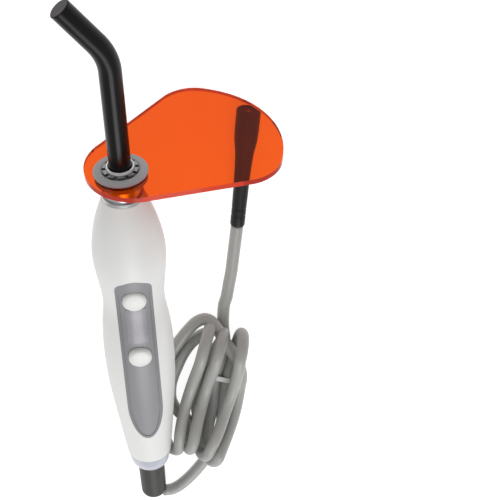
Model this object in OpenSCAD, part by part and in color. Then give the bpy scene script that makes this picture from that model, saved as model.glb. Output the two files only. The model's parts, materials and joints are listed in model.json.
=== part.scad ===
// Corded dental curing light, lying at rest on a table.
// The handpiece leans on the rim of its orange shield and on the end of its strain relief,
// and its lead lies beside it in a tied hank that ends in an in-line power connector.
//
// Handpiece frame: z runs along the handpiece from near the tail of the white body
// towards the light guide, x is to the right and -y is the side with the buttons.
// Hank frame: y runs along the runs of cord, z is up from the table.

/* [Body] */
// Height of the top of the white body in the handpiece frame
body_len = 146; // [140:1:150]
// Wall thickness of the two shells
wall = 2; // [1.6:0.1:2.4]
// Distance of the shell seam in front of the axis
seam = 3; // [2:0.5:4]
// Width of the grey control panel
panel_w = 14; // [12:0.5:15]
// Diameter of each button
button_d = 9; // [8:0.5:9.5]
// How far a button goes down
button_travel = 0.6; // [0.4:0.1:0.8]

/* [Light guide] */
// Diameter of the light guide over its black sleeve
guide_d = 8.1; // [7.5:0.1:8.4]
// Diameter of the ferrule shank that plugs into the nose
shank_d = 10; // [9.6:0.1:10.4]
// Straight part of the guide above the shield
guide_rise = 42.5; // [36:0.5:48]
// Radius of the bend at the middle of the guide
bend_r = 20; // [16:1:26]
// Angle of the bend
bend_angle = 36; // [25:1:50]
// Straight end of the guide past the bend
guide_end = 18; // [14:1:24]

/* [Shield] */
// Thickness of the shield
shield_t = 2; // [1.6:0.1:2.4]
// Distance from the guide to the far edge of the shield
shield_reach = 62; // [58:0.5:63]
// Outer diameter of the rubber grommet
grommet_d = 20; // [18:0.5:21]
// How the shield is turned on the guide
shield_turn = 25.5; // [20:0.5:30]

/* [Lead] */
// Diameter of the lead
cord_d = 5; // [4.6:0.1:5]
// Diameter of the power connector's head
connector_d = 9.4; // [9:0.1:9.6]

/* [Hidden] */

$fn = 64;
eps = 0.01;
gap = 0.05;

// Where the handpiece lies: the guide's hole in the shield, and the lean of the axis.
origin_x = -20.55;
origin_y = 51.2;
shield_height = 49.78;
lean = 14.85;
roll = 7;

// Stations along the handpiece
shield_z = 157;
socket_top = 151.8;
socket_floor = 130;
relief_end = -18.8;
mode_z = 104.8;
power_z = 76.4;
window_z = 91.4;
panel_top = 115.5;
panel_bottom = 27;
board_front = 7.2;
display_t = 1.6;
board_t = 1.2;
board_low = 36;
board_high = 108;
switch_h = 1.2;
plunger_top = 9;
screw_depth = 2.4;
screw_z = [26, 112.4];
cap_low = 2.5;
cap_top = 10;
collar_h = 4;
cap_collar_r = 6.5;

// Fits
running = 0.05;
collar_r = 6.55;
shank_r = shank_d / 2;
rod_r = guide_d / 2 - 0.3;
nose_r = 6.8;
relief_r = 5.5;
relief_tip_r = 5.3;
grommet_core_r = 8;
guide_foot = 131;
tip_tenon = 0.2;
tip_step = 0.02;
collar_top = 158.6;
ring_z = [137, 145];
board_top = 119.2;
boss_r = 2.4;
screw_r = 0.8;
panel_sink = 0.2;
panel_depth = 0.8;
window_w = 7.8;
window_h = 16.2;
head_r = connector_d / 2;
barrel_r = 3.2;
button_r = button_d / 2;
button_clear = 0.15;
button_proud = 1.4;
button_flange = 0.5;
snug = 0.02;
panel_step = 0.25;

// Outline of the body as key points of distance from the tail and radius
body_keys = [
    [cap_low, 7.2], [8, 8.8], [30, 11.2], [52, 13.3], [70, 13.85],
    [84, 13.2], [98, 11.9], [119, 13.9], [134, 11.9], [body_len, 8.0]
];

// A smooth curve through a list of points, with a number of steps between two of them
function knot(p, i) = p[max(0, min(len(p) - 1, i))];
function blend(a, b, c, d, u) =
    0.5 * (2 * b + (c - a) * u + (2 * a - 5 * b + 4 * c - d) * u * u
    + (3 * b - a - 3 * c + d) * u * u * u);
function smooth(p, steps) = [
    for (i = [0 : len(p) - 2])
    for (j = [0 : steps - (i < len(p) - 2 ? 1 : 0)])
    blend(knot(p, i - 1), p[i], p[i + 1], knot(p, i + 2), j / steps)
];
body_curve = smooth(body_keys, 6);
function body_r(z) = lookup(z, body_curve);

// Hank of the lead: place, slant and the cord's own room
hank_x = 26.3;
hank_y = -114;
hank_slant = -15;
hank_split = -8.6;
hank_high_h = 20;

// Route of the lead from the strain relief to the hank, then from the hank to the connector
lead_route = [
    [4.2, -170.2, 4.6], [7, -170.6, 3.8], [10, -169.8, 3], [13, -167.6, 2.6], [16, -164.6, 2.6],
    [19, -161, 2.6], [22, -157, 2.6], [25, -152.6, 2.6], [27.4, -149.4, 2.6]
];
connector_route = [
    [32.4, -84.6, 2.6], [33.4, -81, 2.6], [34.6, -77, 2.6], [35.8, -71, 2.7], [37, -65, 2.9],
    [38, -58, 3.3], [39, -51, 3.9], [39.7, -46, 4.4], [40.1, -43, 4.7]
];
connector_tail = [40.1, -43.3, 4.7];
connector_yaw = -7;
connector_len = 48.5;

function unit(v) = v / norm(v);
function tangent(p, i) = unit(knot(p, i + 1) - knot(p, i - 1));

module at_table() {
    translate([origin_x, origin_y, 0]) children();
}

module at_handpiece() {
    at_table()
    translate([0, 0, shield_height])
    rotate([lean - 90, 0, 0])
    rotate([0, 0, roll])
    translate([0, 0, -shield_z])
    children();
}

module at_hank() {
    at_table()
    translate([hank_x, hank_y, 0])
    rotate([0, 0, hank_slant])
    children();
}

module at_connector() {
    at_table()
    translate(connector_tail)
    rotate([0, 0, connector_yaw])
    rotate([-90, 0, 0])
    children();
}

// A tube of round section swept along a route, as one closed solid
module swept_cord(route, diameter, sides = 10) {
    last = len(route) - 1;
    rings = [
        for (i = [0 : last])
        let (t = tangent(route, i), side = unit(cross(t, [0, 0, 1])), up = cross(side, t))
        for (k = [0 : sides - 1])
        route[i] + diameter / 2 * (cos(360 * k / sides) * side + sin(360 * k / sides) * up)
    ];
    skin = [
        for (i = [0 : last - 1])
        for (k = [0 : sides - 1])
        let (a = i * sides + k, b = i * sides + (k + 1) % sides)
        for (f = [[a, b, b + sides], [a, b + sides, a + sides]]) f
    ];
    start_cap = [for (k = [sides - 1 : -1 : 0]) k];
    end_cap_face = [for (k = [0 : sides - 1]) last * sides + k];
    polyhedron(points = rings, faces = concat(skin, [start_cap, end_cap_face]), convexity = 6);
}

// ---- Shells ----

// The whole outline of the body, or the same outline moved inwards
module body_solid(inset = 0) {
    rotate_extrude()
    polygon(concat(
        [[0, body_len], [0, cap_low]],
        [for (p = body_curve) [p[1] - inset, p[0]]]
    ));
}

// The shell all round, with its wall cut away below a given height
module hollow_body(low) {
    difference() {
        body_solid();
        difference() {
            body_solid(wall);
            // Closed rings around the nose and around the strain relief
            translate([0, 0, body_len - 3]) cylinder(r = 12, h = 4);
            translate([0, 0, -1]) cylinder(r = 12, h = 1 + cap_top);
        }
        translate([0, 0, -1]) cylinder(r = relief_r + gap, h = 2 + cap_top);
        translate([0, 0, body_len - 4]) cylinder(r = nose_r + gap, h = 5);
        translate([0, 0, -5]) cylinder(r = 12, h = 5 + low);
    }
}

// The panel's outline, or the same outline moved in by an edge all round and by more at its top
module panel_outline(edge = 0, top_edge = 0) {
    half = panel_w / 2 - edge;
    top = panel_top - top_edge;
    bottom = panel_bottom + edge;
    corner = 4 - edge;
    crown = 1.3;
    low_arc = 20;
    hull() {
        translate([0, top - corner]) scale([1.2, 1]) circle(r = corner, $fn = 32);
        for (side = [-1, 1])
            translate([side * (half - corner), top - crown - corner]) circle(r = corner, $fn = 32);
        translate([0, bottom + low_arc]) scale([half / low_arc, 1]) circle(r = low_arc);
    }
}

module through_front(depth = 20) {
    rotate([90, 0, 0]) linear_extrude(depth) children();
}

// A cylinder along y at a station of the handpiece
module cross_rod(z, r, from, to) {
    translate([0, from, z]) rotate([-90, 0, 0]) cylinder(r = r, h = to - from);
}

module window_block(from, to) {
    translate([-window_w / 2, -to, window_z - window_h / 2]) cube([window_w, to - from, window_h]);
}

module front_half() {
    translate([-30, -30 - seam, -5]) cube([60, 30, body_len + 10]);
}

module front_shell() {
    color("white") at_handpiece()
    difference() {
        union() {
            intersection() {
                hollow_body(cap_top);
                front_half();
            }
            intersection() {
                body_solid(wall - eps);
                for (z = screw_z) cross_rod(z, boss_r, -15, -seam);
            }
        }
        // Pocket that the control panel lies in
        difference() {
            through_front() panel_outline();
            body_solid(panel_depth);
        }
        for (z = [mode_z, power_z]) cross_rod(z, button_r + button_clear, -18, -4);
        window_block(4, 18);
        for (z = screw_z) cross_rod(z, screw_r + gap, -7.4, 0);
    }
}

module rear_shell() {
    color("white") at_handpiece()
    difference() {
        union() {
            difference() {
                hollow_body(cap_top);
                front_half();
            }
            intersection() {
                body_solid(wall - eps);
                for (z = screw_z) cross_rod(z, boss_r, -seam, 15);
            }
        }
        for (z = screw_z) {
            cross_rod(z, screw_r + gap, -seam - 1, 20);
            cross_rod(z, 2, body_r(z) - screw_depth, 20);
        }
    }
}

module shell_screws() {
    color("silver") at_handpiece()
    for (z = screw_z)
        let (seat = body_r(z) - screw_depth)
        difference() {
            union() {
                cross_rod(z, screw_r, -7, seat + eps);
                cross_rod(z, 1.8, seat, seat + 1.4);
            }
            // Cross slot of the head
            for (turn = [0, 90])
                translate([0, seat + 0.8, z]) rotate([0, turn, 0])
                translate([-1.2, 0, -0.25]) cube([2.4, 1, 0.5]);
        }
}

// A half collar in front of the strain relief, with a ring that locks it into the shells
module end_cap() {
    color([0.86, 0.88, 0.95, 0.8]) at_handpiece()
    difference() {
        union() {
            intersection() {
                body_solid();
                front_half();
                cylinder(r = 12, h = cap_top);
            }
            translate([0, 0, cap_top]) cylinder(r = cap_collar_r, h = collar_h);
        }
        cylinder(r = relief_r + gap, h = 40, center = true);
    }
}

// A round boot whose lower end is rounded over
module strain_relief() {
    flange_low = cap_top + collar_h + 0.1;
    color([0.32, 0.32, 0.31]) at_handpiece()
    rotate_extrude()
    polygon(concat(
        [[0, 20], [0, relief_end]],
        [for (a = [-90 : 15 : 0]) [relief_tip_r - 2 + 2 * cos(a), relief_end + 2 + 2 * sin(a)]],
        [[relief_r, 0], [relief_r, flange_low], [cap_collar_r, flange_low], [cap_collar_r, 20]]
    ));
}

// ---- Controls ----

module control_panel() {
    color([0.58, 0.58, 0.61]) at_handpiece()
    difference() {
        intersection() {
            through_front() panel_outline();
            body_solid(panel_sink);
        }
        body_solid(panel_depth);
        // The field inside the panel's raised edge
        difference() {
            through_front() panel_outline(1, 4);
            body_solid(panel_sink + panel_step);
        }
        for (z = [mode_z, power_z]) cross_rod(z, button_r + button_clear, -18, -4);
        window_block(4, 18);
    }
}

module display_window() {
    color([0.66, 0.65, 0.68]) at_handpiece()
    intersection() {
        body_solid(panel_sink + 0.1);
        window_block(9.7, 18);
    }
}

module display_module() {
    color([0.5, 0.53, 0.5]) at_handpiece()
    translate([-4, -board_front - display_t, window_z - 8.6]) cube([8, display_t, 16.4]);
}

// A domed cap with a hollow skirt, a flange that keeps it in, and a stem that meets its switch
module push_button(z) {
    top = body_r(z) + button_proud;
    ceiling = body_r(z) - 0.6;
    at_handpiece()
    translate([0, 0, z]) rotate([90, 0, 0])
    rotate_extrude()
    polygon(concat(
        [[0, plunger_top], [1.3, plunger_top], [1.3, ceiling], [3.4, ceiling], [3.4, 8]],
        [[button_r + button_flange, 8], [button_r + button_flange, 8.8], [button_r, 8.8]],
        [for (a = [0 : 15 : 75]) [button_r - 1.2 + 1.2 * cos(a), top - 1.5 + 1.2 * sin(a)]],
        [[button_r - 1.8, top - 0.2], [button_r - 3, top - 0.05], [0, top]]
    ));
}

module mode_button() {
    color("whitesmoke") push_button(mode_z);
}

module power_button() {
    color("whitesmoke") push_button(power_z);
}

module plunger(z) {
    at_handpiece() cross_rod(z, 0.9, -plunger_top, -board_front - button_travel);
}

module mode_plunger() {
    color("dimgray") plunger(mode_z);
}

module power_plunger() {
    color("dimgray") plunger(power_z);
}

module button_switches() {
    color("silver") at_handpiece()
    for (z = [mode_z, power_z])
        difference() {
            translate([-2.1, -board_front - switch_h, z - 2.1]) cube([4.2, switch_h, 4.2]);
            cross_rod(z, 0.95, -board_front - switch_h - 1, -board_front + 1);
        }
}

module main_board() {
    color("darkgreen") at_handpiece()
    translate([-6, -board_front, board_low]) cube([12, board_t, board_high - board_low]);
}

// Driver chip, coil, capacitors and the ribbon header on the back of the board
module board_parts() {
    back = -board_front + board_t;
    color([0.15, 0.15, 0.16]) at_handpiece() {
        translate([-3, back, 56]) cube([6, 1.2, 6]);
        translate([-3.5, back, 66]) cube([7, 3, 7]);
        for (side = [-1, 1])
            translate([side * 3, back + 2.5, 78]) cylinder(r = 2.5, h = 9);
        translate([-4.5, back, 92]) cube([9, 2, 4]);
    }
}

module buzzer() {
    color("black") at_handpiece()
    difference() {
        cross_rod(46, 4.5, -board_front + board_t, -board_front + board_t + 3.5);
        cross_rod(46, 0.8, -board_front + board_t + 2.5, -board_front + board_t + 4);
    }
}

// Two leads from the strain relief up to the foot of the board
module board_wires() {
    foot = 20.3;
    reach = board_low + 1.5 - foot;
    rise = board_front - board_t;
    color("firebrick") at_handpiece()
    for (side = [-1, 1])
        translate([side * 3.2, 0, foot]) rotate([atan2(rise - 0.6, reach), 0, 0])
        cylinder(r = 0.6, h = norm([reach, rise]) - 0.6);
}

// ---- Nose and light source ----

module nose_socket() {
    color([0.78, 0.79, 0.8]) at_handpiece()
    difference() {
        union() {
            translate([0, 0, board_top]) cylinder(r = nose_r, h = socket_top - board_top);
            translate([0, 0, 126]) cylinder(r = 11, h = 2);
        }
        translate([0, 0, board_top - 1]) cylinder(r = 4.4, h = socket_floor);
        translate([0, 0, socket_floor]) cylinder(r = shank_r + running, h = 40);
    }
}

module nose_ring() {
    color("silver") at_handpiece()
    translate([0, 0, body_len])
    difference() {
        cylinder(r1 = 7.9, r2 = 7.6, h = 1.2);
        translate([0, 0, -1]) cylinder(r = nose_r + gap, h = 3);
    }
}

module heat_spreader() {
    color([0.72, 0.45, 0.3]) at_handpiece()
    translate([0, 0, board_top - 3.8])
    difference() {
        cylinder(r = 9.6, h = 2.6);
        for (side = [-1, 1]) translate([side * 8, 0, -1]) cylinder(r = 0.9, h = 5);
    }
}

module led_board() {
    color("white") at_handpiece()
    translate([0, 0, board_top - 1.2]) cylinder(r = nose_r, h = 1.2);
}

module led_emitter() {
    color("gold") at_handpiece()
    translate([0, 0, board_top]) {
        translate([-1.75, -1.75, 0]) cube([3.5, 3.5, 0.8]);
        translate([0, 0, 0.7]) intersection() {
            sphere(r = 1.6);
            cylinder(r = 2, h = 2);
        }
    }
}

// A short acrylic cone that gathers the light into the rod
module collimator_lens() {
    color([0.9, 0.95, 1, 0.5]) at_handpiece()
    rotate_extrude()
    polygon([
        [0, board_top + 3], [1.8, board_top + 3], [4.3, 128], [4.3, 129.6], [0, 129.6]
    ]);
}

// ---- Light guide ----

module ring_section(outer, inner) {
    difference() {
        circle(r = outer);
        if (inner > 0) circle(r = inner);
    }
}

// A round section carried up the guide, around its bend and out to its slightly slimmer tip
module along_guide(outer, inner, cut) {
    bend_z = shield_z + guide_rise;
    translate([0, 0, guide_foot]) linear_extrude(bend_z - guide_foot) ring_section(outer, inner);
    translate([-bend_r, 0, bend_z])
    rotate([90, 0, 0])
    rotate_extrude(angle = bend_angle, $fn = 96)
    translate([bend_r, 0]) ring_section(outer, inner);
    translate([-bend_r, 0, bend_z])
    rotate([0, -bend_angle, 0])
    translate([bend_r, 0, -tip_tenon])
    linear_extrude(guide_end - cut + tip_tenon)
    ring_section(outer - tip_step, inner > 0 ? inner + tip_step : 0);
}

module guide_rod() {
    color([0.3, 0.3, 0.28]) at_handpiece() along_guide(rod_r, 0, 0);
}

module guide_sleeve() {
    color([0.08, 0.08, 0.08]) at_handpiece() along_guide(guide_d / 2, rod_r, 0.3);
}

module guide_ferrule() {
    color("silver") at_handpiece()
    difference() {
        union() {
            translate([0, 0, 131]) cylinder(r = shank_r, h = 21.5);
            translate([0, 0, 151.9]) cylinder(r = 7.4, h = 0.6);
            translate([0, 0, 152]) cylinder(r = collar_r, h = collar_top - 152);
        }
        translate([0, 0, 130]) cylinder(r = guide_d / 2 + snug, h = 40);
        translate([0, 0, collar_top - 1]) cylinder(r = 4.9, h = 2);
        for (z = ring_z)
            translate([0, 0, z - 0.4])
            difference() {
                cylinder(r = 6, h = 0.8);
                translate([0, 0, -1]) cylinder(r = 4.35, h = 3);
            }
        // Notches around the top of the collar
        for (a = [0 : 36 : 324])
            rotate([0, 0, a]) translate([5.3, -0.7, collar_top - 0.8]) cube([2, 1.4, 1]);
    }
}

// Thin flared lip around the rod
module ferrule_rim() {
    color("white") at_handpiece()
    rotate_extrude()
    polygon([
        [guide_d / 2 + snug, collar_top - 1], [4.8, collar_top - 1],
        [4.85, collar_top], [5.0, collar_top + 1.1], [4.6, collar_top + 1.1]
    ]);
}

module guide_o_rings() {
    color([0.1, 0.1, 0.1]) at_handpiece()
    for (z = ring_z)
        translate([0, 0, z]) rotate_extrude() translate([4.69, 0]) circle(r = 0.34, $fn = 24);
}

// ---- Shield ----

// Points of an arc from one angle to another
function arc(c, r, from, to, steps) = [
    for (i = [0 : steps])
    let (a = from + (to - from) * i / steps) c + r * [cos(a), sin(a)]
];

// A rounded drop: a small round end near the guide, two corners and a wide far edge
module shield_outline() {
    back_r = 19.5;
    corner_r = 14.5;
    far_r = 39.6;
    far_c = [shield_reach - far_r, 0];
    swing = 44;
    corner_c = far_c + (far_r - corner_r) * [cos(swing), sin(swing)];
    upper = concat(
        arc(far_c, far_r, 0, swing, 8),
        arc(corner_c, corner_r, swing + 6, 104, 8),
        arc([7, 0], back_r, 104, 180, 10)
    );
    last = len(upper) - 1;
    polygon(concat(upper, [for (i = [last - 1 : -1 : 1]) [upper[i][0], -upper[i][1]]]));
}

module shield_plate() {
    color([0.93, 0.35, 0.08, 0.85]) at_handpiece()
    translate([0, 0, shield_z - shield_t])
    difference() {
        rotate([0, 0, shield_turn]) linear_extrude(shield_t) shield_outline();
        translate([0, 0, -1]) cylinder(r = grommet_core_r + gap, h = shield_t + 2);
    }
}

module shield_grommet() {
    outer = grommet_d / 2;
    low = shield_z - shield_t;
    color([0.52, 0.52, 0.53]) at_handpiece()
    rotate_extrude()
    polygon([
        [collar_r + running, low - 2.4], [outer - 1.2, low - 2.4], [outer - 0.4, low - 1.6],
        [outer - 0.4, low], [grommet_core_r, low], [grommet_core_r, shield_z],
        [outer, shield_z], [outer, shield_z + 0.5], [outer - 0.8, shield_z + 1.2],
        [collar_r + 0.6, shield_z + 1.2], [collar_r + running, shield_z + 0.7]
    ]);
}

// ---- Lead and connector ----

module lead_cord() {
    color([0.66, 0.66, 0.64]) at_table() swept_cord(lead_route, cord_d);
}

module connector_cord() {
    color([0.66, 0.66, 0.64]) at_table() swept_cord(connector_route, cord_d);
}

// The upper runs of the hank and what lies under them
module hank_high() {
    color([0.62, 0.62, 0.6]) at_hank()
    translate([0, 0, 0.1])
    linear_extrude(hank_high_h)
    hull() {
        for (end = [-29, 23]) translate([-1, end]) circle(r = 7.5, $fn = 32);
        for (end = [-33, 20]) translate([9.5, end]) circle(r = 7.5, $fn = 32);
    }
}

// The low runs that spread out under the handpiece
module hank_low() {
    color([0.6, 0.6, 0.58]) at_hank()
    translate([0, 0, 0.1])
    linear_extrude(cord_d)
    difference() {
        hull() {
            translate([-8, 26]) circle(r = 5, $fn = 32);
            translate([-16, -5]) circle(r = 5, $fn = 32);
            translate([-8, -33]) circle(r = 4, $fn = 32);
        }
        translate([hank_split, -50]) square([30, 100]);
    }
}

// A flat band around two of the low runs
module twist_tie() {
    band = 0.4;
    color("ghostwhite") at_hank()
    translate([-band, 0, 0.05])
    difference() {
        cube([2 * cord_d + 2 * band, 2.2, cord_d + 2 * band]);
        translate([band, -1, band]) cube([2 * cord_d, 5, cord_d]);
    }
}

module connector_body() {
    top = connector_len;
    lip_r = head_r - 0.7;
    mouth_r = barrel_r + 0.3;
    color([0.18, 0.18, 0.18]) at_connector()
    difference() {
        rotate_extrude()
        polygon(concat(
            [[0, 0], [2.5, 0], [2.8, 0.2], [2.9, 0.6]],
            // Two shallow rings behind the head
            [for (low = [4, 7]) for (p = [[2.9, 0], [2.75, 0.2], [2.75, 0.7], [2.9, 0.9]])
                [p[0], low + p[1]]],
            [[3, 14], [3, 16], [3.25, 24], [3.6, 30], [4.15, 33.5], [4.5, 36], [head_r, 40]],
            // Lip and groove around the mouth
            [[head_r, top - 0.4], [head_r - 0.3, top], [lip_r, top], [lip_r, top - 0.6]],
            [[mouth_r, top - 0.6], [mouth_r, top], [0, top]]
        ));
        translate([0, 0, connector_len - 13]) cylinder(r = barrel_r, h = 20);
    }
}

module connector_barrel() {
    color("silver") at_connector()
    translate([0, 0, connector_len - 13])
    difference() {
        cylinder(r = barrel_r, h = 12.4);
        translate([0, 0, 1]) cylinder(r = barrel_r - 0.4, h = 20);
    }
}

module connector_pin() {
    color("gold") at_connector()
    translate([0, 0, connector_len - 12]) {
        cylinder(r = 1, h = 9);
        translate([0, 0, 9]) cylinder(r1 = 1, r2 = 0.5, h = 0.6);
    }
}

front_shell();
rear_shell();
control_panel();
display_window();
display_module();
mode_button();
power_button();
mode_plunger();
power_plunger();
button_switches();
main_board();
board_parts();
board_wires();
buzzer();
shell_screws();
nose_socket();
nose_ring();
heat_spreader();
led_board();
led_emitter();
collimator_lens();
end_cap();
strain_relief();
guide_rod();
guide_sleeve();
guide_ferrule();
ferrule_rim();
guide_o_rings();
shield_plate();
shield_grommet();
lead_cord();
hank_low();
hank_high();
twist_tie();
connector_cord();
connector_body();
connector_barrel();
connector_pin();
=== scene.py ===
"""The looks of a corded dental curing light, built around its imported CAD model.

Lengths in this script are metres. MM turns the millimetres of the design into metres.
"""

import json
import math

import bmesh
import bpy
from mathutils import Matrix, Vector


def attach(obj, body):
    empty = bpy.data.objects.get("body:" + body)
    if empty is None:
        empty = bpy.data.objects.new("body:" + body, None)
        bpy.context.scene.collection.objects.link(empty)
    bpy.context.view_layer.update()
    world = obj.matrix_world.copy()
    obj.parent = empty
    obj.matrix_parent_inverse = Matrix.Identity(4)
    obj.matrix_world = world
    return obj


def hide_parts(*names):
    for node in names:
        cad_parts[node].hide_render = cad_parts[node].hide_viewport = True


MM = 0.001

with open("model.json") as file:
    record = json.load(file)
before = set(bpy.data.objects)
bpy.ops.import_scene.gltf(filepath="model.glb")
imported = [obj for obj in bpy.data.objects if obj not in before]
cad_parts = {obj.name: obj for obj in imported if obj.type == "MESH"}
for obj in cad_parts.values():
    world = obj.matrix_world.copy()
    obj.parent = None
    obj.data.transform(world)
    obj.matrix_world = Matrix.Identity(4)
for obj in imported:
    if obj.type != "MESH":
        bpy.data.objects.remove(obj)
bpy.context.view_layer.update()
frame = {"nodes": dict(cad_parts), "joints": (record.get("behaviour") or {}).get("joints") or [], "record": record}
nodes = frame["nodes"]
joints = {joint["name"]: joint for joint in frame["joints"]}


# ---- The shield's place on the handpiece ----
# TIP points along the handpiece, from its tail towards the light guide. HOLE is the middle of the
# hole in the shield, at its upper face.

TIP = -Vector(joints["shield_turn"]["axis"])
HOLE = Vector(joints["shield_turn"]["pos_m"])


# ---- Camera ----

# Where the photo was taken from. It was set one by one: the angle to the shield from the oval that the
# round grommet makes, the distance from how the guide narrows, and the aim from where the grommet
# and the handpiece's axis lie in the photo.
CAMERA_FROM_HOLE = Vector((50.3, 201.2, 476.9)) * MM
CAMERA_AIM = Vector((-0.0094, -0.4402, -0.8978))
CAMERA_DOWN = Vector((-0.0252, -0.8975, 0.4403))
# In millimetres of film, as Blender has them
SENSOR_WIDTH = 36
FOCAL_LENGTH = 104.4


def make_camera():
    data = bpy.data.cameras.new("camera")
    data.sensor_width = SENSOR_WIDTH
    data.lens = FOCAL_LENGTH
    data.clip_start = 0.01
    data.clip_end = 20
    camera = bpy.data.objects.new("camera", data)
    bpy.context.scene.collection.objects.link(camera)
    back = -CAMERA_AIM.normalized()
    right = (-CAMERA_DOWN).cross(back).normalized()
    turn = Matrix((right, back.cross(right), back)).transposed().to_4x4()
    turn.translation = HOLE + CAMERA_FROM_HOLE
    camera.matrix_world = turn
    bpy.context.scene.camera = camera


make_camera()


# ---- Lead ----
# The points of the lead are in millimetres. Those of the two routes and the middle of the hank are
# from the place on the table below the hole in the shield.

CORD_D = 5 * MM
TABLE = Vector((HOLE.x, HOLE.y, 0))
LEAD_ROUTE = [
    (4.2, -170.2, 4.6), (7, -170.6, 3.8), (10, -169.8, 3), (13, -167.6, 2.6), (16, -164.6, 2.6),
    (19, -161, 2.6), (22, -157, 2.6), (25, -152.6, 2.6), (27.4, -149.4, 2.6),
]
CONNECTOR_ROUTE = [
    (32.4, -84.6, 2.6), (33.4, -81, 2.6), (34.6, -77, 2.6), (35.8, -71, 2.7), (37, -65, 2.9),
    (38, -58, 3.3), (39, -51, 3.9), (39.7, -46, 4.4), (40.1, -43, 4.7),
]
HANK_CENTRE = Vector((26.3, -114, 0))
HANK_SLANT = math.radians(-15)

# The hank's runs in the order that the cord takes them, each in the hank's own frame:
# y goes up along the runs, x across them, and z up from the table.
# The first and every second one after it goes up. The low runs are 2.6 to 5.4 mm up. The three
# upper ones, which are second, fourth and sixth, are 9.8 to 17.4 mm up, apart from the lower end
# of the sixth, which comes down to 6.6 mm. The eighth goes over the top of the hank and down its
# right side, 3 to 16.2 mm up.
RUNS = [
    [(11, -29, 2.6), (9, -14, 3), (7.4, 0, 2.8), (7.6, 10, 3.4), (7.6, 18.4, 2.6)],
    [(8.8, 18.4, 17.4), (9.4, 14, 16.4), (9.9, 8, 13.6), (10.2, 1, 10.6), (9.9, -5, 9.9),
     (9.3, -11, 11.2), (8.5, -17, 14.4), (7.6, -22, 16.6), (6.8, -26, 17)],
    [(1.2, -26, 2.6), (-3, -12, 4.6), (-3.8, 0, 5.4), (-2.4, 9, 4.4), (0.8, 17, 2.6)],
    [(-0.4, 17, 17), (-0.4, 12.5, 16), (-0.5, 7, 13.4), (-0.6, 1, 10.8), (-0.7, -4, 9.8),
     (-0.9, -10, 10.8), (-1.1, -16, 13.6), (-1.2, -21, 16), (-1, -24.8, 16.8)],
    [(-2.8, -24.8, 2.6), (-5.6, -22.6, 2.6), (-10, -19.6, 2.6), (-13.4, -15, 2.6),
     (-14.8, -9, 2.6), (-14.8, -4, 2.6), (-14.2, 1, 2.6), (-13.2, 7, 2.6),
     (-11.2, 13, 2.6), (-8, 18, 2.6), (-4.8, 20.4, 2.6)],
    [(-6.6, 16, 17), (-6.6, 12, 16.2), (-6.7, 7, 14), (-6.9, 1, 11.4), (-7.1, -5, 10),
     (-7.4, -12, 10.4), (-7.4, -18, 12.2), (-7, -24, 13.8), (-6.2, -29.2, 13.2),
     (-5.8, -33.8, 10.4), (-6.6, -37, 6.6)],
    [(-9.2, -37.8, 3.6), (-11.8, -34.6, 2.6), (-13.4, -29, 2.6), (-16, -21, 2.6),
     (-18.8, -12, 2.6), (-19.4, -2, 2.6), (-18.2, 7, 3.6), (-16.2, 14.6, 5)],
    [(-13.6, 21.6, 6), (-11.2, 26, 6.4), (-8, 28.2, 6.6), (-4.6, 27.2, 7), (-1.2, 24, 7.8),
     (3, 19.6, 8.6), (7.4, 14.8, 8.4), (10.6, 9.6, 7), (12.8, 3.8, 4.8), (13.6, -3, 3),
     (14.2, -13, 4), (13.4, -21, 8), (11.2, -28.6, 16.2)],
    [(5, -28.6, 2.6), (4.4, -14, 2.8), (2.6, 0, 2.8), (2.8, 10, 2.6), (2.2, 18, 2.6),
     (0, 25, 2.6)],
]
# The joints between runs that are round folds. The others run on in one sweep.
FOLDS = (0, 1, 2, 3, 4, 7)
FOLD_STEPS = 12
# How the lead's line is smoothed: steps between two of its points, then the distance of its rings
SMOOTH_STEPS = 10
RING_STEP = 1 * MM
TUBE_SIDES = 20


def fold(start, end):
    """The points of a round fold from the end of one run to the start of the next."""
    middle = (start + end) / 2
    radius = (start - end).length / 2
    outwards = Vector((0, math.copysign(radius, middle.y), 0))
    points = []
    for step in range(1, FOLD_STEPS):
        angle = math.pi * step / FOLD_STEPS
        points.append(middle + (start - middle) * math.cos(angle) + outwards * math.sin(angle))
    return points


def hank_points():
    """The cord's line through the hank, in the hank's own frame, in millimetres."""
    points = []
    for index, run in enumerate(RUNS):
        run = [Vector(p) for p in run]
        points += run
        if index in FOLDS:
            points += fold(run[-1], Vector(RUNS[index + 1][0]))
    return points


def smooth_line(points, steps):
    """A Catmull-Rom curve through the points."""
    line = []
    last = len(points) - 1
    for i in range(last):
        a, b = points[max(i - 1, 0)], points[i]
        c, d = points[i + 1], points[min(i + 2, last)]
        for step in range(steps):
            u = step / steps
            line.append(
                0.5 * (2 * b + (c - a) * u + (2 * a - 5 * b + 4 * c - d) * u ** 2
                       + (3 * b - a - 3 * c + d) * u ** 3)
            )
    line.append(points[-1])
    return line


def even_line(points, step):
    """The same line with its points a fixed step apart."""
    out = [points[0]]
    left = step
    for a, b in zip(points, points[1:]):
        long = (b - a).length
        while long >= left and long > 0:
            a = a + (b - a) * (left / long)
            out.append(a)
            long = (b - a).length
            left = step
        left -= long
    return out


def on_table(point):
    return TABLE + Vector(point) * MM


def from_hank(point):
    turned = Matrix.Rotation(HANK_SLANT, 3, "Z") @ point
    return on_table(HANK_CENTRE + turned)


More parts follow.
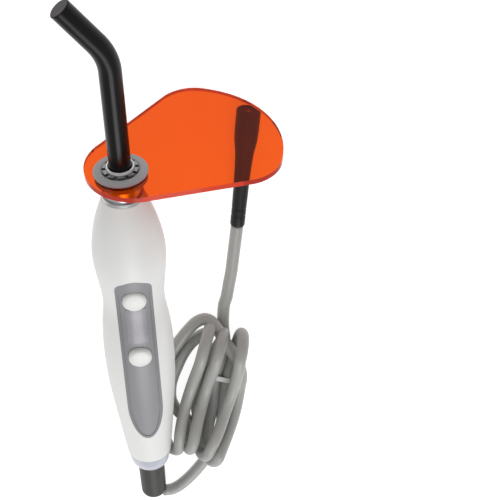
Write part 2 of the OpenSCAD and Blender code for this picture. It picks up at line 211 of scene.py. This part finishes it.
def tube(name, line, radius, sides=TUBE_SIDES):
    """A closed round tube along a line, as a mesh."""
    made = bmesh.new()
    rings = []
    side = None
    for i, point in enumerate(line):
        ahead = (line[min(i + 1, len(line) - 1)] - line[max(i - 1, 0)]).normalized()
        side = Vector((0, 0, 1)).cross(ahead) if side is None else side - ahead * side.dot(ahead)
        side.normalize()
        up = ahead.cross(side)
        ring = []
        for k in range(sides):
            turn = 2 * math.pi * k / sides
            outwards = side * math.cos(turn) + up * math.sin(turn)
            ring.append(made.verts.new(point + radius * outwards))
        rings.append(ring)
    for lower, upper in zip(rings, rings[1:]):
        for k in range(sides):
            n = (k + 1) % sides
            made.faces.new((lower[k], lower[n], upper[n], upper[k])).smooth = True
    made.faces.new(list(reversed(rings[0])))
    made.faces.new(rings[-1])
    mesh = bpy.data.meshes.new(name)
    made.to_mesh(mesh)
    made.free()
    obj = bpy.data.objects.new(name, mesh)
    bpy.context.scene.collection.objects.link(obj)
    return obj


def make_lead():
    """The whole lead as one tube, from the strain relief through the hank to the connector."""
    route = [on_table(p) for p in LEAD_ROUTE[:-1]]
    route += [from_hank(p) for p in hank_points()]
    route += [on_table(p) for p in CONNECTOR_ROUTE[1:]]
    line = even_line(smooth_line(route, SMOOTH_STEPS), RING_STEP)
    made = tube("lead", line, CORD_D / 2)
    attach(made, "handle")
    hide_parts("lead_cord", "hank_low", "hank_high", "connector_cord")
    return made


lead = make_lead()


# ---- Materials ----

BUMP_DEPTH = 0.05 * MM


def material(name, colour, rough, metal=0.0, mottle=0.04, mottle_size=0.03, grain=0.1,
             grain_size=0.0006, alpha=1.0, coat=0.0, transmission=0.0, ior=1.5,
             rough_swing=0.06, specular=0.5):
    """A surface with slow colour and gloss variation and a fine bump grain. Sizes are in metres."""
    made = bpy.data.materials.new(name)
    made.use_nodes = True
    tree = made.node_tree
    shader = tree.nodes["Principled BSDF"]
    place = tree.nodes.new("ShaderNodeTexCoord")

    slow = tree.nodes.new("ShaderNodeTexNoise")
    slow.inputs["Scale"].default_value = 1 / mottle_size
    slow.inputs["Detail"].default_value = 5
    tree.links.new(place.outputs["Object"], slow.inputs["Vector"])

    tint = tree.nodes.new("ShaderNodeValToRGB")
    tint.color_ramp.elements[0].position = 0.3
    tint.color_ramp.elements[1].position = 0.7
    tint.color_ramp.elements[0].color = [max(0, c * (1 - mottle)) for c in colour] + [1]
    tint.color_ramp.elements[1].color = [min(1, c * (1 + mottle)) for c in colour] + [1]
    tree.links.new(slow.outputs["Fac"], tint.inputs["Fac"])
    tree.links.new(tint.outputs["Color"], shader.inputs["Base Color"])

    gloss = tree.nodes.new("ShaderNodeMapRange")
    gloss.inputs["To Min"].default_value = max(0.02, rough - rough_swing)
    gloss.inputs["To Max"].default_value = min(1, rough + rough_swing)
    tree.links.new(slow.outputs["Fac"], gloss.inputs["Value"])
    tree.links.new(gloss.outputs["Result"], shader.inputs["Roughness"])

    fine = tree.nodes.new("ShaderNodeTexNoise")
    fine.inputs["Scale"].default_value = 1 / grain_size
    fine.inputs["Detail"].default_value = 3
    tree.links.new(place.outputs["Object"], fine.inputs["Vector"])
    bump = tree.nodes.new("ShaderNodeBump")
    bump.inputs["Strength"].default_value = grain
    bump.inputs["Distance"].default_value = BUMP_DEPTH
    tree.links.new(fine.outputs["Fac"], bump.inputs["Height"])
    tree.links.new(bump.outputs["Normal"], shader.inputs["Normal"])

    shader.inputs["Metallic"].default_value = metal
    shader.inputs["Alpha"].default_value = alpha
    shader.inputs["Coat Weight"].default_value = coat
    shader.inputs["Transmission Weight"].default_value = transmission
    shader.inputs["IOR"].default_value = ior
    shader.inputs["Specular IOR Level"].default_value = specular
    return made


MATERIALS = {
    "white_shell": material(
        "white_plastic", (0.73, 0.73, 0.715), 0.45, mottle=0.012, grain=0.05, specular=0.4,
    ),
    "grey_panel": material("panel_plastic", (0.24, 0.24, 0.253), 0.42, mottle=0.03, grain=0.12),
    "display_lens": material(
        "window_plastic", (0.30, 0.285, 0.31), 0.3, mottle=0.05, mottle_size=0.003, grain=0.0,
        alpha=0.96,
    ),
    "display": material("display_glass", (0.33, 0.34, 0.34), 0.3, mottle=0.05),
    "button_white": material(
        "button_plastic", (0.70, 0.70, 0.685), 0.35, mottle=0.012, grain=0.04,
    ),
    "plunger": material("plunger_plastic", (0.04, 0.04, 0.042), 0.5),
    "switch_steel": material("switch_steel", (0.6, 0.6, 0.61), 0.35, metal=1.0),
    "board": material("board_mask", (0.02, 0.12, 0.04), 0.35, mottle=0.2, mottle_size=0.004),
    "chip_black": material("chip_plastic", (0.02, 0.02, 0.022), 0.5),
    "wire": material("wire_jacket", (0.4, 0.03, 0.02), 0.45),
    "screw_steel": material("screw_steel", (0.55, 0.55, 0.56), 0.3, metal=1.0),
    "nose_metal": material("nose_metal", (0.6, 0.61, 0.62), 0.32, metal=1.0, grain=0.15),
    "nose_ring": material("ring_chrome", (0.52, 0.53, 0.54), 0.34, metal=1.0, grain=0.04),
    "copper": material("copper", (0.65, 0.32, 0.18), 0.35, metal=1.0),
    "led_board": material("led_board_white", (0.75, 0.75, 0.75), 0.4),
    "led": material("led_amber", (0.8, 0.6, 0.12), 0.25),
    "lens": material(
        "clear_lens", (0.9, 0.93, 0.96), 0.06, grain=0.0, alpha=0.4, transmission=0.8,
    ),
    "end_cap": material(
        "cap_plastic", (0.50, 0.52, 0.60), 0.2, mottle=0.03, grain=0.03, alpha=0.92, coat=0.1,
    ),
    "relief_rubber": material(
        "relief_rubber", (0.042, 0.041, 0.039), 0.5, mottle=0.12, grain=0.3, specular=0.35,
    ),
    "guide_glass": material("guide_glass", (0.035, 0.031, 0.03), 0.3, grain=0.0, specular=0.12),
    "guide_black": material(
        "guide_black", (0.005, 0.005, 0.005), 0.28, mottle=0.3, grain=0.02, specular=0.18,
    ),
    "ferrule_steel": material(
        "ferrule_steel", (0.24, 0.24, 0.245), 0.28, metal=1.0, mottle=0.15, mottle_size=0.002,
    ),
    "rim_bright": material("rim_bright", (0.92, 0.92, 0.91), 0.25, metal=0.2, grain=0.0),
    "o_ring": material("seal_rubber", (0.01, 0.01, 0.01), 0.5),
    "shield_orange": material(
        "shield_orange", (0.80, 0.093, 0.003), 0.05, mottle=0.01, grain=0.0, transmission=0.96,
        ior=1.15, rough_swing=0.02,
    ),
    "grommet_rubber": material("grommet_rubber", (0.35, 0.34, 0.345), 0.65, mottle=0.1, grain=0.4),
    "cord_grey": material("cord_jacket", (0.335, 0.335, 0.32), 0.42, mottle=0.03, grain=0.12),
    "tie_white": material("tie_band", (0.75, 0.75, 0.74), 0.5, mottle=0.05),
    "connector_black": material(
        "connector_plastic", (0.008, 0.008, 0.009), 0.5, mottle=0.12, grain=0.3, specular=0.3,
    ),
    "contact_metal": material("contact_metal", (0.7, 0.62, 0.4), 0.25, metal=1.0),
}

# Painted shade on the sides of the orange sheet, which are the same plastic as its faces: a darker red, and less
# clear
RIM_PAINTED_SHADE = (0.62, 0.06, 0.045, 1)
RIM_TRANSMISSION = 0.35


def paint_rim_shade(made, colour):
    """Paints shade on a flat sheet's sides, as a darker colour and less clearness, by how far their normals lean
    off the axis.
    """
    tree = made.node_tree
    shader = tree.nodes["Principled BSDF"]
    place = tree.nodes.new("ShaderNodeTexCoord")
    lean = tree.nodes.new("ShaderNodeVectorMath")
    lean.operation = "DOT_PRODUCT"
    lean.inputs[1].default_value = TIP
    flat = tree.nodes.new("ShaderNodeMath")
    flat.operation = "ABSOLUTE"
    # 0 on the sheet's faces, whose normals lie along the axis, and 1 on its sides
    side = tree.nodes.new("ShaderNodeMapRange")
    side.inputs["From Min"].default_value = 0.75
    side.inputs["From Max"].default_value = 0.25
    mix = tree.nodes.new("ShaderNodeMix")
    mix.data_type = "RGBA"
    colours = [socket for socket in mix.inputs if socket.type == "RGBA"]
    result = next(socket for socket in mix.outputs if socket.type == "RGBA")
    clear = tree.nodes.new("ShaderNodeMapRange")
    clear.inputs["To Min"].default_value = shader.inputs["Transmission Weight"].default_value
    clear.inputs["To Max"].default_value = RIM_TRANSMISSION
    tint = shader.inputs["Base Color"].links[0].from_socket
    tree.links.new(place.outputs["Normal"], lean.inputs[0])
    tree.links.new(lean.outputs["Value"], flat.inputs[0])
    tree.links.new(flat.outputs["Value"], side.inputs["Value"])
    tree.links.new(side.outputs["Result"], mix.inputs["Factor"])
    tree.links.new(tint, colours[0])
    colours[1].default_value = colour
    tree.links.new(result, shader.inputs["Base Color"])
    tree.links.new(side.outputs["Result"], clear.inputs["Value"])
    tree.links.new(clear.outputs["Result"], shader.inputs["Transmission Weight"])


def dress(obj, slot):
    obj.data.materials.clear()
    obj.data.materials.append(MATERIALS[slot])


SHARP_ANGLE = math.radians(28)
WELD_DISTANCE = 1e-6


def smooth_cad(obj):
    """Shades a carried-over node smoothly across its facets and sharply at its edges."""
    mesh = obj.data
    if "custom_normal" in mesh.attributes:
        mesh.attributes.remove(mesh.attributes["custom_normal"])
    for polygon in mesh.polygons:
        polygon.use_smooth = True
    weld = obj.modifiers.new("weld", "WELD")
    weld.merge_threshold = WELD_DISTANCE
    edge = obj.modifiers.new("edge", "EDGE_SPLIT")
    edge.split_angle = SHARP_ANGLE


# Painted shade on the shield's sides
paint_rim_shade(MATERIALS["shield_orange"], RIM_PAINTED_SHADE)

for part in frame["record"]["subparts"]:
    dress(nodes[part["node"]], part["material_slot"])
    smooth_cad(nodes[part["node"]])
dress(lead, "cord_grey")


# ---- Floor and light ----

FLOOR_HALF = 3
FLOOR_DROP = 0.2 * MM
FLOOR_GLOW = 0.85
WORLD_LIGHT = 0.56


def make_floor():
    """A plain pale sheet that also glows, like a light table."""
    mesh = bpy.data.meshes.new("floor")
    corners = [(x * FLOOR_HALF, y * FLOOR_HALF, 0) for x, y in ((-1, -1), (1, -1), (1, 1), (-1, 1))]
    mesh.from_pydata(corners, [], [(0, 1, 2, 3)])
    floor = bpy.data.objects.new("floor", mesh)
    bpy.context.scene.collection.objects.link(floor)
    floor.location.z = -FLOOR_DROP
    paper = material("floor", (0.4, 0.4, 0.4), 0.9, mottle=0.004, grain=0.0)
    glow = paper.node_tree.nodes["Principled BSDF"].inputs
    glow["Emission Color"].default_value = (1, 1, 1, 1)
    glow["Emission Strength"].default_value = FLOOR_GLOW
    mesh.materials.append(paper)


def soft_light(name, place, size, power):
    """A square area light that faces the origin. Place and size are in metres, power in watts."""
    data = bpy.data.lights.new(name, "AREA")
    data.shape = "SQUARE"
    data.size = size
    data.energy = power
    light = bpy.data.objects.new(name, data)
    light.location = place
    light.rotation_mode = "QUATERNION"
    light.rotation_quaternion = (-Vector(place)).to_track_quat("-Z", "Y")
    bpy.context.scene.collection.objects.link(light)


def make_light():
    world = bpy.data.worlds.new("studio")
    world.use_nodes = True
    sky = world.node_tree.nodes["Background"].inputs
    sky["Color"].default_value = (1, 1, 1, 1)
    sky["Strength"].default_value = WORLD_LIGHT
    bpy.context.scene.world = world
    soft_light("key", (0.12, -0.75, 0.6), 0.5, 4.4)
    soft_light("above", (-0.25, 0.1, 0.9), 0.7, 0.8)


make_floor()
make_light()
bpy.context.scene.view_settings.view_transform = "Standard"
bpy.context.view_layer.update()
